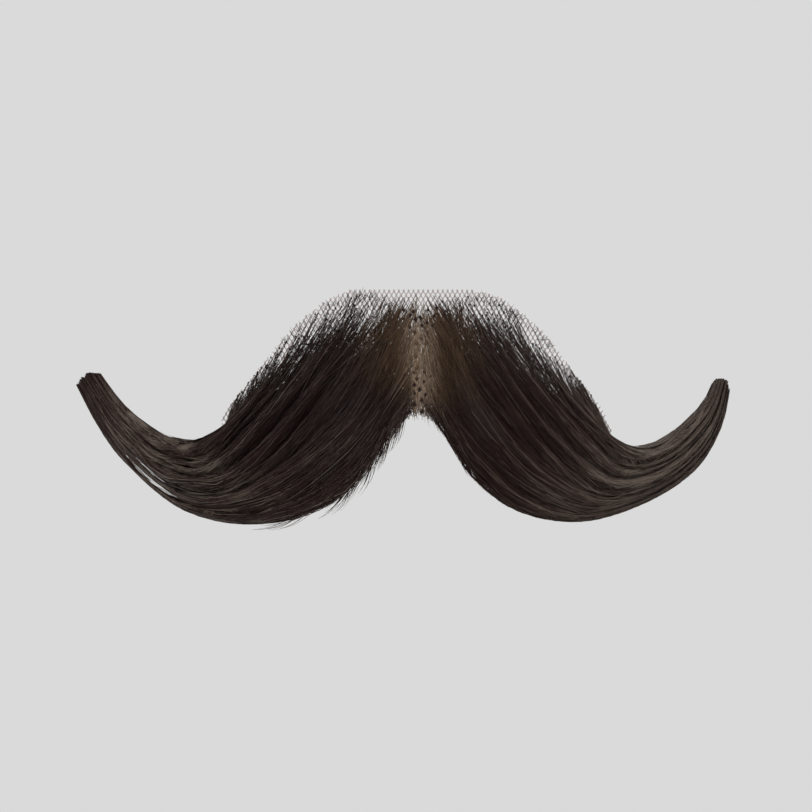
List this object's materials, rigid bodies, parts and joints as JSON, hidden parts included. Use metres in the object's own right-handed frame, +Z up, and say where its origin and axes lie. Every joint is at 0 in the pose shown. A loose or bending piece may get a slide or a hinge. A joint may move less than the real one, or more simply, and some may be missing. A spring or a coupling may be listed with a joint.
{
  "type": "fake moustache",
  "caption": "Handlebar moustache of dark hair on a lace base bent to the upper lip, parted in the middle, with wings swept down and out to upturned tips.",
  "frame": {"origin": "the back of the lace where it lies on the upper lip, at the lower end of the parting between the wings", "axes": "+X to the right as seen from the front, along the moustache; +Y backwards, into the face; +Z up"},
  "size_m": [0.0931, 0.021, 0.0333],
  "materials": {
    "lace": "fine open knotting lace, flesh coloured, matt",
    "dark_hair": "near-black brown hair, combed and set, soft sheen",
    "parting_hair": "short thin brown hair, soft sheen"
  },
  "bodies": {
    "root": {"lace_base": "lace", "hair_wing_left": "dark_hair", "hair_wing_right": "dark_hair", "centre_hair": "parting_hair"}
  },
  "joints": []
}
